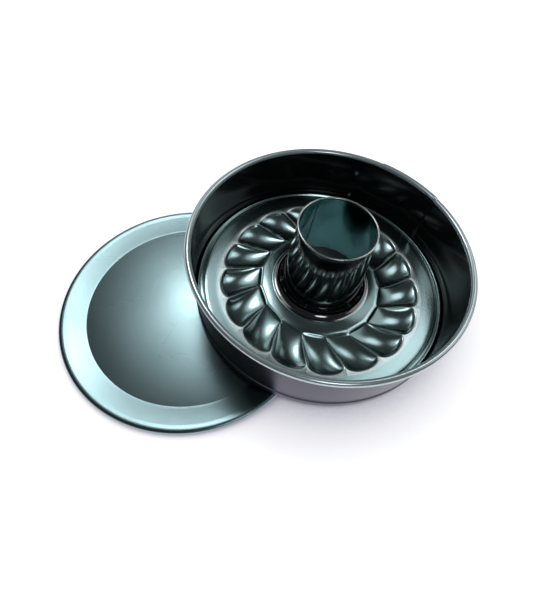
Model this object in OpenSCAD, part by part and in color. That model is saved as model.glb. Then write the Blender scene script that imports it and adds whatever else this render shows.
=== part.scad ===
// Springform cake pan set: a spring ring with a draw latch, a tube base with a swirl of pressed lobes
// standing in it, and a second, flat base on which one side of the ring leans.
// Millimetres, +Z up. The origin is the centre of the flat base's underside, and the ring lies along +X.

/* [Ring] */
// Inner diameter of the ring at its rim
rim_d = 255.8; // [246:0.2:266]
// Overall height of the ring
ring_h = 69.7; // [68:0.5:80]
// How much the wall's inner radius narrows from rim to foot
wall_taper = 1.3; // [1.1:0.1:2]
// Diameter of the rolled rim
bead_d = 5.9; // [5.4:0.1:6.4]
// Diameter of the wire inside the rolled rim
wire_d = 4.1; // [3:0.1:4.2]
// Thickness of the sheet steel
sheet = 0.6; // [0.5:0.05:0.7]
// Height of the stepped foot that holds the base
foot_h = 8.8; // [8:0.2:9.6]

/* [Tube base] */
// Height of the base's floor above the ring's foot
floor_z = 11.3; // [11:0.1:12.5]
// Height of the tube's top above the ring's foot
tube_top_z = 93.7; // [85:0.5:100]
// Diameter of the tube just below its curled top
tube_top_d = 69.6; // [64:0.4:72]
// Diameter of the tube above its foot fillet
tube_foot_d = 80.4; // [78:0.4:84]
// Radius of the fillet at the tube's foot
tube_fillet = 8.6; // [7:0.2:9]
// Number of pressed lobes in the swirl
lobe_count = 17; // [14:1:20]
// Height of the lobes' deepest points above the ring's foot
lobe_z = 2.4; // [2.2:0.1:3.4]
// Angle by which the ridges lag from their outer to their inner end
swirl_angle = 9; // [4:1:14]

/* [Flat base] */
// How much smaller across the flat base is than the ring's rim
flat_inset = 4.6; // [2:0.2:8]
// Width of the flat base's sloping flange
flange_w = 23.1; // [20:0.1:27]
// Height of the flat base's flange
flange_h = 6.6; // [5.8:0.1:6.9]
// Thickness of the flat base
flat_sheet = 0.7; // [0.6:0.05:0.8]

/* [Draw latch] */
// Distance between the two rivets of the lever's bracket
rivet_pitch = 31.6; // [30:0.2:33]
// Diameter of the lever's pivot pin
pin_d = 3; // [2.6:0.1:3.2]
// Diameter of the wire loop's wire
bail_d = 2.2; // [2:0.1:2.4]
// Length of the lever from its pivot to its finger lip
lever_l = 58; // [48:1:66]

/* [Layout] */
// How much further apart than the rim's radius the centres of the ring and the flat base are
side_step = 7.8; // [6:0.1:11]

/* [Hidden] */
$fn = 96;

// Colours
satin_grey = "#4d5a5e";
gloss_black = "#16191b";
steel = "#a9adb2";

// Gaps: one for pieces that only rest on each other, one for the layers of the lap, one for turning fits
rest_gap = 0.3;
lap_gap = 0.15;
turning_gap = 0.06;

// Ring wall
bead_r = bead_d / 2;
rim_r = rim_d / 2;
bead_bite = 0.1;
bead_centre_r = rim_r + bead_r - bead_bite;
bead_sheet = 0.75;
bead_z = ring_h - bead_r;
foot_in_r = rim_r - wall_taper;
foot_step = 0.9;
foot_out_r = foot_in_r + foot_step + sheet;
foot_corner = 1.2;
foot_lip = 4.1;
foot_shoulder = 1.4;
foot_edge_r = foot_out_r - foot_corner;
wall_slope = atan(wall_taper / (bead_z - foot_h));
function wall_in_r(z) = foot_in_r + (z - foot_h) * tan(wall_slope);
function wall_out_r(z) = wall_in_r(z) + sheet;

// Lap of the band's two ends, at lengths round the wall back from the latch's pivot: the inner end
// shows inside, the outer end carries the catch. Turns are to a tenth of a degree, so that ends meet.
latch_az = 58.9;
lap_step = sheet + lap_gap;
lap_end_back = 23.4;
lap_start_back = 77.9;
joggle_space = 9.8;
joggle_l = 3.9;
function wall_turn(length) = round(length / rim_r * 1800 / PI) / 10;
outer_end_az = latch_az - wall_turn(lap_end_back);
inner_end_az = latch_az - wall_turn(lap_start_back);
joggle_end_az = inner_end_az - wall_turn(joggle_space);
joggle_start_az = joggle_end_az - wall_turn(joggle_l);
lap_bead_in_r = bead_r + lap_gap;
lap_bead_out_r = bead_r + lap_step;
wall_end_drop = 0.35;

// Tube base
base_clearance = 0.6;
base_r = foot_in_r - base_clearance;
rim_channel_depth = 1.6;
skirt_z = sheet + rest_gap;
lip_outer_drop = 0.9;
lip_inner_drop = 3.6;
lip_outer_z = floor_z - lip_outer_drop;
lip_inner_z = floor_z - lip_inner_drop;
lobe_tip_r = 0.83 * base_r;
lobe_cusp_r = 0.772 * base_r;
lobe_inner_r = 0.472 * base_r;
lobe_corner_r = 0.489 * base_r;
trough_outer_r = lobe_tip_r + 1.6;
trough_inner_r = lobe_inner_r - 1.6;
flat_ring_in_r = 0.94 * base_r;
collar_r = tube_foot_d / 2 + tube_fillet;
collar_hole_r = collar_r - 4;
crest_share_out = 0.05;
crest_share_in = 0.6;
lobe_roundness = 0.7;
lobe_deepest_power = 1.15;
swirl_phase = -7.2;

// Tube
tube_curl_r = 0.9;
tube_top_r = tube_top_d / 2;
tube_foot_r = tube_foot_d / 2;
tube_foot_z = floor_z + sheet + tube_fillet;
tube_curl_z = tube_top_z - tube_curl_r;
tube_slope = atan((tube_foot_r - tube_top_r) / (tube_curl_z - tube_foot_z));
seam_w = 4.2;
seam_t = 0.7;
seam_az = 101;

// Flat base
flat_r = rim_r - flat_inset / 2;
flat_centre_r = flat_r - flange_w;
flange_crest_r = flat_r - 2.8;

// The ring leans: its foot crosses the flat base's flange at two points and touches the ground beyond
centre_gap = rim_r + side_step;
foot_mid_r = foot_edge_r - foot_lip / 2;
cross_x = (centre_gap * centre_gap + foot_mid_r * foot_mid_r - flange_crest_r * flange_crest_r)
    / (2 * centre_gap);
lean = asin((flange_h + rest_gap) / (foot_edge_r + cross_x));
ring_lift = foot_edge_r * sin(lean);

// Draw latch: x is out from the wall, y is along it and z is up it, from the wall's face at the pivot
latch_z = ring_h * 0.482;
latch_r = wall_out_r(latch_z);
plate_t = 1;
lever_half_h = 20;
ear_gap = 0.5;
ear_t = 1.2;
ear_in_z = lever_half_h + ear_gap;
ear_out_z = ear_in_z + ear_t;
ear_r = 3.4;
pivot_x = 6;
pin_r = pin_d / 2;
pin_proud = 0.2;
bracket_back_y = -10;
bracket_front_y = 5;
wall_gap = 0.05;
bracket_face = wall_gap + plate_t;
rivet_head_r = 2.8;
rivet_shank_r = 1.7;
rivet_head_t = 1.2;
inner_head_t = 0.5;
lever_t = 1;
lever_eye_r = 3.1;
lever_throw = 6.5;
lever_back_y = 0.5;
lever_cover_x = pivot_x + 3.4;
lever_cover_r = latch_r + lever_cover_x;
handle_half_h = lever_half_h - 5;
lever_flange_l = 26;
finger_lip = 5;
bail_r = bail_d / 2;
bail_leg_z = ear_out_z + 0.7 + bail_r;
bail_stub_z = lever_half_h - lever_t - 1.4;
bail_bend_r = 2.6;

// Catch: its frame stands on the outer layer of the lap, square to the wall at the plate's middle
catch_reach = 28;
catch_mid = 36;
hook_half_w = 11;
hook_gap = 1.2;
web_gap = 0.45;
lip_gap = 1.8;
lip_reach = 2.4;
catch_half_h = 15;
catch_r = latch_r + lap_step;
leg_x = plate_t + hook_gap + bail_r;
catch_turn = atan(catch_mid / catch_r);
catch_az = latch_az - catch_turn;
leg_turn = atan(catch_reach / catch_r);
leg_polar_r = catch_r + leg_x;
leg_pos = [leg_polar_r * cos(leg_turn) - latch_r, -leg_polar_r * sin(leg_turn)];
loop_pos = [pivot_x, lever_throw];
bail_angle = atan2(leg_pos[1] - loop_pos[1], leg_pos[0] - loop_pos[0]);
bail_l = norm(leg_pos - loop_pos);
catch_leg_y = leg_polar_r * sin(catch_turn - leg_turn);
catch_leg_x = leg_polar_r * cos(catch_turn - leg_turn) - catch_r;
web_y = catch_leg_y + bail_r + web_gap;
lip_x = catch_leg_x + bail_r + lip_gap;
catch_rivet_y = -6;
catch_back_y = -11;
catch_rivet_z = 10;

// Outline of a sheet of thickness t along a path of [radius, height] points
function unit(v) = v / norm(v);
function left_of(v) = [-v[1], v[0]];
function path_normal(path, i) =
    i == 0 ? left_of(unit(path[1] - path[0]))
    : i == len(path) - 1 ? left_of(unit(path[i] - path[i - 1]))
    : let (
        a = left_of(unit(path[i] - path[i - 1])),
        b = left_of(unit(path[i + 1] - path[i])),
        m = unit(a + b)
    ) m / (m * a);
function shifted(path, d) = [for (i = [0 : len(path) - 1]) path[i] + d * path_normal(path, i)];
function reversed(list) = [for (i = [len(list) - 1 : -1 : 0]) list[i]];
function sheet_outline(path, t) = concat(shifted(path, t / 2), reversed(shifted(path, -t / 2)));
function arc(centre, r, from, to, steps) =
    [for (i = [0 : steps]) centre + r * [cos(from + (to - from) * i / steps),
        sin(from + (to - from) * i / steps)]];

// Stands a child drawn in the ring's own frame where the ring leans
module on_ring() {
    translate([centre_gap, 0, ring_lift])
        rotate([0, lean, 0])
            children();
}

// Revolves a child outline from one azimuth to another
module sweep(from, to) {
    rotate([0, 0, from])
        rotate_extrude(angle = to - from)
            children();
}

// Frame on the wall's outer face: turned to an azimuth, out by r and leaning with the wall
module on_wall(az, r) {
    on_ring()
        rotate([0, 0, az])
            translate([r, 0, latch_z])
                rotate([0, wall_slope, 0])
                    children();
}

// Middle line of the band's wall, from its foot lip up to the rolled rim, whose sheet its end runs into
function wall_end_z(out) = bead_z - (out > 0 ? bead_r : wall_end_drop);
function wall_path(out) = [
    [foot_edge_r - foot_lip + sheet, sheet / 2],
    [foot_edge_r, sheet / 2],
    [foot_out_r - sheet / 2 + out, foot_corner],
    [foot_out_r - sheet / 2 + out, foot_h - foot_shoulder],
    [foot_in_r + sheet / 2 + out, foot_h],
    [wall_in_r(wall_end_z(out)) + sheet / 2 + out, wall_end_z(out)],
];

module wall_outline(out, t) {
    polygon(sheet_outline(wall_path(out), t));
}

module rolled_rim(in_r, out_r) {
    translate([bead_centre_r, bead_z])
        difference() {
            circle(out_r);
            circle(in_r);
        }
}

// The band's main turn: its wall and its rolled rim
module band_outline() {
    wall_outline(0, sheet);
    rolled_rim(bead_r - bead_sheet, bead_r);
}

// The part of the outer layer's rim that folds over the inner layer's rim
module folded_rim(in_r) {
    difference() {
        rolled_rim(in_r, lap_bead_out_r);
        translate([rim_r - bead_r, bead_z - 2 * bead_r])
            square([bead_r + lap_step - bead_bite, 4 * bead_r]);
    }
}

// The outer layer of the lap
module lap_outline() {
    polygon(sheet_outline([for (i = [2 : 5]) wall_path(lap_step)[i]], sheet));
    folded_rim(lap_bead_in_r);
}

// The joggle where the main turn steps out into the outer layer
module joggle_outline() {
    polygon(concat(
        shifted([for (i = [2 : 5]) wall_path(lap_step)[i]], -sheet / 2),
        reversed(shifted([for (i = [2 : 5]) wall_path(0)[i]], sheet / 2))
    ));
    rolled_rim(bead_r - bead_sheet, bead_r);
    folded_rim(bead_r - bead_sheet);
}

module ring_band() {
    color(gloss_black)
        difference() {
            on_ring() {
                sweep(inner_end_az, 360 + joggle_end_az) band_outline();
                sweep(joggle_start_az, joggle_end_az) joggle_outline();
                sweep(joggle_start_az, outer_end_az) lap_outline();
            }
            on_wall(latch_az, latch_r)
                rivet_holes(0, rivet_pitch / 2, -3, 3);
            on_wall(catch_az, catch_r)
                rivet_holes(catch_rivet_y, catch_rivet_z, -sheet - lap_gap / 2 - 0.12, 3);
        }
}

// The wire stops short of the lap at both ends
module rim_wire() {
    color(steel)
        on_ring()
            sweep(inner_end_az + 1, 358 + joggle_start_az)
                translate([bead_centre_r, bead_z])
                    circle(wire_d / 2);
}

// Height of the sheet's upper face in the swirl: t runs from the inner to the outer outline of the
// lobes, u from -1 to 1 across one lobe. Each lobe is a bowl that is deepest just past its middle, and
// the ridge between two lobes sinks from its outer to its inner end.
function along(t) = 2 * pow(t, lobe_deepest_power) - 1;
function across(t) = pow(max(0, 1 - along(t) * along(t)), lobe_roundness);
function crest_share(t) = crest_share_out + (crest_share_in - crest_share_out) * pow(1 - t, 1.5);
function bulge(u) = sqrt(max(0, 1 - u * u));
function lip_z(t) = lip_inner_z + (lip_outer_z - lip_inner_z) * t;
function swirl_z(t, u) =
    lip_z(t) - (lip_z(0.4) - lobe_z) * across(t) * (crest_share(t) + (1 - crest_share(t)) * bulge(u));
function lobe_in(u) = lobe_corner_r - (lobe_corner_r - lobe_inner_r) * bulge(u);
function lobe_out(u) = lobe_cusp_r + (lobe_tip_r - lobe_cusp_r) * bulge(u);
function swirl_lag(t) = -swirl_angle * pow(1 - t, 1.2);

// One spoke of points over the swirl, from the flat inside it to the flat outside it
lobe_steps = 6;
cross_steps = 9;
spoke_count = lobe_count * lobe_steps;
function spoke_u(i) = -cos(180 * (i % lobe_steps) / lobe_steps);
function spoke_az(i) =
    swirl_phase + (floor(i / lobe_steps) + (1 + spoke_u(i)) / 2) * 360 / lobe_count;
function cross_share(s) = 0.6 * (1 - cos(180 * s)) / 2 + 0.4 * s;
function spoke_point(az, r, z) = [r * cos(az), r * sin(az), z];
function spoke(i, drop) =
    let (u = spoke_u(i), az = spoke_az(i), r0 = lobe_in(u), r1 = lobe_out(u))
    concat(
        [spoke_point(az + swirl_lag(0), trough_inner_r, lip_inner_z - drop)],
        [for (k = [0 : cross_steps])
            let (t = cross_share(k / cross_steps))
            spoke_point(az + swirl_lag(t), r0 + (r1 - r0) * t, swirl_z(t, u) - drop)],
        [spoke_point(az, trough_outer_r, lip_outer_z - drop)]
    );

// The swirl as a closed shell: upper face, lower face and the two round edges between them
module swirl_shell() {
    n = cross_steps + 3;
    points = concat(
        [for (i = [0 : spoke_count - 1]) each spoke(i, 0)],
        [for (i = [0 : spoke_count - 1]) each spoke(i, sheet)]
    );
    under = spoke_count * n;
    function at(i, k) = (i % spoke_count) * n + k;
    faces = concat(
        [for (i = [0 : spoke_count - 1], k = [0 : n - 2])
            each [[at(i, k), at(i + 1, k), at(i, k + 1)], [at(i + 1, k), at(i + 1, k + 1), at(i, k + 1)]]],
        [for (i = [0 : spoke_count - 1], k = [0 : n - 2])
            each [[under + at(i, k), under + at(i, k + 1), under + at(i + 1, k)],
                [under + at(i + 1, k), under + at(i, k + 1), under + at(i + 1, k + 1)]]],
        [for (i = [0 : spoke_count - 1])
            each [[at(i, 0), under + at(i, 0), at(i + 1, 0)],
                [at(i + 1, 0), under + at(i, 0), under + at(i + 1, 0)]]],
        [for (i = [0 : spoke_count - 1])
            each [[at(i, n - 1), at(i + 1, n - 1), under + at(i, n - 1)],
                [at(i + 1, n - 1), under + at(i + 1, n - 1), under + at(i, n - 1)]]]
    );
    polyhedron(points, faces, convexity = 6);
}

// Inner collar of the plate: from under the tube's flange down to the swirl
module plate_collar_outline() {
    polygon(sheet_outline([
        [collar_hole_r, floor_z - sheet / 2],
        [collar_r + 0.8, floor_z - sheet / 2],
        [trough_inner_r - 0.6, lip_inner_z - sheet / 2],
        [trough_inner_r + 0.5, lip_inner_z - sheet / 2],
    ], sheet));
}

// Outer floor of the plate: from the swirl out to the channel, the raised rim and the skirt
module plate_rim_outline() {
    z = floor_z - sheet / 2;
    channel_r = flat_ring_in_r + 1.4;
    skirt_r = base_r - sheet / 2;
    polygon(sheet_outline([
        [trough_outer_r - 0.5, lip_outer_z - sheet / 2],
        [trough_outer_r + 0.6, lip_outer_z - sheet / 2],
        [flat_ring_in_r, z],
        [channel_r, z - rim_channel_depth],
        [skirt_r - 3, z - rim_channel_depth],
        [skirt_r - 1.6, z],
        [skirt_r - 0.7, z],
        [skirt_r, z - 0.7],
        [skirt_r, skirt_z],
    ], sheet));
}

module tube_base_plate() {
    color(satin_grey)
        on_ring() {
            swirl_shell();
            rotate_extrude() plate_collar_outline();
            rotate_extrude() plate_rim_outline();
        }
}

module tube_outline() {
    flange_z = floor_z + sheet / 2;
    fillet_centre = [tube_foot_r + tube_fillet, flange_z + tube_fillet];
    polygon(sheet_outline(concat(
        [[collar_r + 0.3, flange_z]],
        arc(fillet_centre, tube_fillet, 270, 180 + tube_slope, 8),
        [[tube_top_r, tube_curl_z]]
    ), sheet));
    translate([tube_top_r, tube_curl_z]) circle(tube_curl_r);
}

// Lock seam: a flat fold that runs up inside the tube
module tube_seam() {
    h = (tube_curl_z - tube_foot_z - tube_curl_r) / cos(tube_slope);
    rotate([0, 0, seam_az])
        translate([tube_foot_r - sheet / 2, 0, tube_foot_z])
            rotate([0, -tube_slope, 0])
                translate([-seam_t, -seam_w / 2, 0])
                    cube([seam_t, seam_w, h]);
}

module centre_tube() {
    color(gloss_black)
        on_ring() {
            rotate_extrude() tube_outline();
            tube_seam();
        }
}

module flat_base() {
    mid_z = flat_sheet / 2;
    crest_z = flange_h - mid_z;
    color(satin_grey)
        rotate_extrude()
            polygon(sheet_outline([
                [0, mid_z],
                [flat_centre_r - 1.2, mid_z],
                [flat_centre_r + 0.6, mid_z + 0.5],
                [flange_crest_r - 4.4, crest_z - 0.9],
                [flange_crest_r - 1.6, crest_z - 0.2],
                [flange_crest_r, crest_z],
                [flat_r - 1.1, crest_z - 0.4],
                [flat_r - mid_z, crest_z - 1.4],
                [flat_r - mid_z, crest_z - 2.6],
            ], flat_sheet));
}

// A rivet along x through the wall: a domed head outside and, where it shows inside, a low one there
module rivet(y, z, face_x, back_x, inner_t) {
    dome_r = (rivet_head_r * rivet_head_r + rivet_head_t * rivet_head_t) / (2 * rivet_head_t);
    translate([0, y, z])
        rotate([0, 90, 0]) {
            translate([0, 0, face_x])
                intersection() {
                    translate([0, 0, rivet_head_t - dome_r]) sphere(dome_r);
                    cylinder(h = 2 * rivet_head_t, r = 2 * rivet_head_r);
                }
            translate([0, 0, back_x - inner_t])
                cylinder(h = face_x - back_x + inner_t + 0.01, r = rivet_shank_r);
            if (inner_t > 0)
                translate([0, 0, back_x - inner_t])
                    cylinder(h = inner_t, r1 = rivet_head_r * 0.72, r2 = rivet_head_r * 0.86);
        }
}

// A pair of rivet holes above and below the middle of the wall
module rivet_holes(y, z, from_x, to_x) {
    for (side = [-1, 1])
        translate([from_x, y, side * z])
            rotate([0, 90, 0])
                cylinder(h = to_x - from_x, r = rivet_shank_r);
}

// Plate against the wall with an ear folded out at each end for the pivot pin
module lever_bracket() {
    ear = [[wall_gap, bracket_back_y], [wall_gap, bracket_front_y], [bracket_face, bracket_front_y],
        [pivot_x, ear_r], [pivot_x, -ear_r], [bracket_face, bracket_back_y]];
    color(steel)
        on_wall(latch_az, latch_r)
            difference() {
                union() {
                    translate([wall_gap, bracket_back_y, -ear_out_z])
                        cube([plate_t, bracket_front_y - bracket_back_y, 2 * ear_out_z]);
                    for (z = [-ear_out_z, ear_in_z])
                        translate([0, 0, z])
                            linear_extrude(ear_t) {
                                polygon(ear);
                                translate([pivot_x, 0]) circle(ear_r);
                            }
                }
                translate([pivot_x, 0, -ear_out_z - 1]) cylinder(h = 2 * ear_out_z + 2, r = pin_r);
                rivet_holes(0, rivet_pitch / 2, -1, 3);
            }
}

module lever_bracket_rivets() {
    color(steel)
        on_wall(latch_az, latch_r)
            for (side = [-1, 1])
                rivet(0, side * rivet_pitch / 2, bracket_face, -sheet - wall_gap, inner_head_t);
}

module lever_pivot_pin() {
    color(steel)
        on_wall(latch_az, latch_r)
            translate([pivot_x, 0, -ear_out_z - pin_proud])
                cylinder(h = 2 * (ear_out_z + pin_proud), r = pin_r);
}

// Distance out from the wall's tangent at the pivot of a cylinder round the ring, y along the tangent
function round_x(r, y) = sqrt(r * r - y * y) - latch_r;

// Side view of a lever flange, with its holes for the pivot pin and the wire loop
module lever_flange() {
    end_x = round_x(lever_cover_r, lever_flange_l);
    difference() {
        union() {
            translate([pivot_x, 0]) circle(lever_eye_r);
            translate([pivot_x, lever_throw]) circle(lever_eye_r);
            intersection() {
                polygon([[pivot_x, -lever_eye_r], [lever_cover_x + lever_t, lever_back_y],
                    [lever_cover_x + lever_t, lever_flange_l], [end_x, lever_flange_l],
                    [pivot_x - lever_eye_r, lever_throw], [pivot_x - lever_eye_r, 0]]);
                translate([-latch_r, 0]) circle(lever_cover_r + lever_t / 2);
            }
        }
        translate([pivot_x, 0]) circle(pin_r + turning_gap);
        translate([pivot_x, lever_throw]) circle(bail_r + turning_gap);
    }
}

// Side view of the cover: it follows the ring's round and turns out into a lip for the finger
module lever_cover() {
    mid_r = lever_cover_r + lever_t / 2;
    end_turn = lever_l / mid_r * 180 / PI;
    start_turn = asin(lever_back_y / mid_r);
    end = [mid_r * cos(end_turn) - latch_r, mid_r * sin(end_turn)];
    along = [-sin(end_turn), cos(end_turn)];
    out = [cos(end_turn), sin(end_turn)];
    lip = [for (i = [1 : 6])
        let (a = i * 11)
        end + finger_lip * (sin(a) * along + (1 - cos(a)) * out)];
    polygon(sheet_outline(concat(arc([-latch_r, 0], mid_r, start_turn, end_turn, 20), lip), lever_t));
}

// Face view of the cover, wide at the pivot and narrower along the handle: x is along the lever
module lever_face() {
    handle_end = lever_l + 2 * finger_lip;
    shoulder_l = lever_flange_l - 2;
    shoulder_run = 2 * (lever_half_h - handle_half_h);
    polygon([[-5, -lever_half_h], [shoulder_l, -lever_half_h],
        [shoulder_l + shoulder_run, -handle_half_h], [handle_end, -handle_half_h],
        [handle_end, handle_half_h], [shoulder_l + shoulder_run, handle_half_h],
        [shoulder_l, lever_half_h], [-5, lever_half_h]]);
}

module clasp_lever() {
    color(steel)
        on_wall(latch_az, latch_r) {
            for (z = [-lever_half_h, lever_half_h - lever_t])
                translate([0, 0, z])
                    linear_extrude(lever_t) lever_flange();
            intersection() {
                translate([0, 0, -lever_half_h])
                    linear_extrude(2 * lever_half_h) lever_cover();
                translate([-2 * lever_cover_x, 0, 0])
                    rotate([90, 0, 90])
                        linear_extrude(4 * lever_cover_x) lever_face();
            }
        }
}

// Wire loop: two stubs turned into the lever's flanges, two side legs and one leg across in the hook
module clasp_bail() {
    straight_z = bail_leg_z - bail_bend_r;
    color(steel)
        on_wall(latch_az, latch_r)
            translate([pivot_x, lever_throw, 0])
                rotate([0, 0, bail_angle]) {
                    for (side = [0, 1])
                        mirror([0, 0, side]) {
                            translate([0, 0, bail_stub_z]) cylinder(h = straight_z - bail_stub_z, r = bail_r);
                            bail_bend([bail_bend_r, straight_z], 90);
                            translate([bail_bend_r, 0, bail_leg_z])
                                rotate([0, 90, 0])
                                    cylinder(h = bail_l - 2 * bail_bend_r, r = bail_r);
                            bail_bend([bail_l - bail_bend_r, straight_z], 0);
                        }
                    translate([bail_l, 0, -straight_z]) cylinder(h = 2 * straight_z, r = bail_r);
                }
}

// Quarter bend of the wire in the loop's plane, turned by an angle about its centre
module bail_bend(centre, turn) {
    translate([centre[0], 0, centre[1]])
        rotate([90, 0, 0])
            rotate([0, 0, turn])
                rotate_extrude(angle = 90)
                    translate([bail_bend_r, 0]) circle(bail_r);
}

// Plate on the outer layer of the lap whose end folds out and back over the wire loop
module catch_plate() {
    mid_x = wall_gap + plate_t / 2;
    web_mid_y = web_y + plate_t / 2;
    hook = [[mid_x, web_mid_y - 3], [mid_x, web_mid_y], [lip_x + plate_t / 2, web_mid_y],
        [lip_x + plate_t / 2, web_y - lip_reach]];
    color(steel)
        on_wall(catch_az, catch_r)
            difference() {
                union() {
                    translate([wall_gap, catch_back_y, -catch_half_h])
                        cube([plate_t, web_y - 1 - catch_back_y, 2 * catch_half_h]);
                    translate([0, 0, -hook_half_w])
                        linear_extrude(2 * hook_half_w) polygon(sheet_outline(hook, plate_t));
                }
                rivet_holes(catch_rivet_y, catch_rivet_z, -1, 3);
            }
}

module catch_rivets() {
    color(steel)
        on_wall(catch_az, catch_r)
            for (side = [-1, 1])
                rivet(catch_rivet_y, side * catch_rivet_z, bracket_face, -sheet - 0.1, 0);
}

flat_base();
ring_band();
rim_wire();
tube_base_plate();
centre_tube();
lever_bracket();
lever_bracket_rivets();
lever_pivot_pin();
clasp_lever();
clasp_bail();
catch_plate();
catch_rivets();
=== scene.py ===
"""Springform cake pan set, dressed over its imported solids.

A latched spring ring stands on the flat base beside it, and a tube base with a swirl of pressed lobes sits
in the ring. Sizes are millimetres in the ring's own frame, or in the flat base's, and become metres when a
mesh is made. Profiles are pairs of a radius and a height, carried round the ring's or the base's axis.
"""
import logging
import math
from collections.abc import Callable
from dataclasses import dataclass
from enum import Enum

import bpy
import numpy as np
from mathutils import Matrix, Vector


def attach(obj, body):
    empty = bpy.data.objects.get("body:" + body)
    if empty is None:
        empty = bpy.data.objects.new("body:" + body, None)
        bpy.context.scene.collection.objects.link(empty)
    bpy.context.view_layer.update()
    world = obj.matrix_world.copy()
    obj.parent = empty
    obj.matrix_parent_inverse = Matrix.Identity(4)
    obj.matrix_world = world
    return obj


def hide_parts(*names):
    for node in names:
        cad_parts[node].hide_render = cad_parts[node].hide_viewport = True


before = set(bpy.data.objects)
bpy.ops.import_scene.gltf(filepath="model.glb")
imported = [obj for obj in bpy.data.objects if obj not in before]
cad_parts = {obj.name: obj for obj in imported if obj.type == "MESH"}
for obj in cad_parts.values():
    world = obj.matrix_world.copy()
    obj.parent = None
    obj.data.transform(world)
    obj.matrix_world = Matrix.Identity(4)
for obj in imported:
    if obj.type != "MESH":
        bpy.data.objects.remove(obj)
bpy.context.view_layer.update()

MM = 0.001
FULL_TURN = 360.0
TINY = 1e-9
MIDDLE = 0.5  # of a value from 0 to 1
LOG = logging.getLogger("pan")

Colour = tuple[float, float, float]
Placing = Callable[[np.ndarray], np.ndarray]
Value = bpy.types.NodeSocket | float | Colour

WHITE: Colour = (1.0, 1.0, 1.0)


class Body(Enum):
    """The moving bodies that a piece rides on."""

    FLAT_BASE = "flat_base"
    RING = "ring"
    TUBE_BASE = "tube_base"
    LEVER = "lever"
    WIRE_LOOP = "wire_loop"


class Coat(Enum):
    """Which of its piece's materials a strip of sheet has, by the material's index."""

    OUTSIDE = 0
    INSIDE = 1
    ROLLED_RIM = 2


# Paths and grids of points


def turned(vectors: np.ndarray) -> np.ndarray:
    """Turns 2-D vectors a quarter turn to the left: (x, z) becomes (-z, x)."""
    return np.stack([-vectors[..., 1], vectors[..., 0]], axis=-1)


def unit(vectors: np.ndarray) -> np.ndarray:
    """Each vector divided by its own length."""
    return vectors / np.maximum(np.linalg.norm(vectors, axis=-1, keepdims=True), TINY)


def eased(share: np.ndarray) -> np.ndarray:
    """Smooth step from 0 to 1: the share squared, times 3 less twice the share."""
    return share * share * (3 - 2 * share)


def rounded_path(points: np.ndarray, radii: tuple[float, ...], steps: int) -> np.ndarray:
    """Replaces each inner corner of a path by an arc.

    An arc of radius R in a corner that turns by angle T leaves the path R tan(T/2) before the corner, and its
    point at angle a is start + R sin(a) along + R (1 - cos(a)) across.

    Args:
        points: Corner points, shape (n, 2).
        radii: Radius for each of the n - 2 inner corners.
        steps: Segments in each arc.

    Returns:
        The path with its arcs, shape (m, 2).
    """
    radius = np.array(radii)
    before = unit(points[1:-1] - points[:-2])
    after = unit(points[2:] - points[1:-1])
    turn = np.arccos(np.clip((before * after).sum(-1), -1, 1))
    side = np.sign((turned(before) * after).sum(-1))
    start = points[1:-1] - before * (radius * np.tan(turn / 2))[:, None]
    angle = turn[:, None] * np.linspace(0, 1, steps + 1)[None, :]
    along = (radius[:, None] * np.sin(angle))[..., None] * before[:, None, :]
    across = (radius[:, None] * (1 - np.cos(angle)) * side[:, None])[..., None] * turned(before)[:, None, :]
    arcs = (start[:, None, :] + along + across).reshape(-1, 2)
    return np.concatenate([points[:1], arcs, points[-1:]])


def arc(centre: tuple[float, float], radius: float, start: float, end: float, steps: int) -> np.ndarray:
    """Points on an arc: centre + radius (cos a, sin a), with a from start to end in degrees."""
    angle = np.radians(np.linspace(start, end, steps + 1))
    return np.array(centre) + radius * np.stack([np.cos(angle), np.sin(angle)], axis=-1)


def dense(path: np.ndarray, pitch: float) -> np.ndarray:
    """Adds points along a path so that no stretch is much longer than the pitch, and keeps every corner.

    Args:
        path: Points, shape (n, 2).
        pitch: Distance between the added points, which stay clear of the corners.

    Returns:
        The path with its added points, shape (m, 2).
    """
    clear = 0.3 * pitch
    lengths = np.linalg.norm(np.diff(path, axis=0), axis=1)
    along = np.concatenate([[0], np.cumsum(lengths)])
    extra = np.arange(0, along[-1], pitch)
    keep = np.abs(extra[:, None] - along[None, :]).min(axis=1) > clear
    at = np.sort(np.concatenate([along, extra[keep]]))
    return np.stack([np.interp(at, along, path[:, i]) for i in (0, 1)], axis=-1)


def path_normals(path: np.ndarray) -> np.ndarray:
    """Left normals of a path: the mean of its two neighbouring stretches' normals, made unit length.

    Args:
        path: Points, shape (n, 2), or several paths, shape (m, n, 2).

    Returns:
        One normal for each point, in the path's shape.
    """
    stretch = turned(unit(np.diff(path, axis=-2)))
    first = np.concatenate([stretch[..., :1, :], stretch], axis=-2)
    last = np.concatenate([stretch, stretch[..., -1:, :]], axis=-2)
    return unit(first + last)


def around(profile: np.ndarray, azimuths: np.ndarray) -> np.ndarray:
    """Carries profiles round the axis: the point is (r cos a, r sin a, z).

    Args:
        profile: One profile, shape (n, 2), or one for each azimuth, shape (m, n, 2).
        azimuths: Azimuths in degrees, shape (m,), or one for each point, shape (m, n).

    Returns:
        Points, shape (m, n, 3).
    """
    angle = np.radians(azimuths)
    angle = angle[:, None] if angle.ndim == 1 else angle
    radius, height = profile[..., 0], profile[..., 1]
    return np.stack([radius * np.cos(angle), radius * np.sin(angle), height * np.ones_like(angle)], axis=-1)


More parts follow.
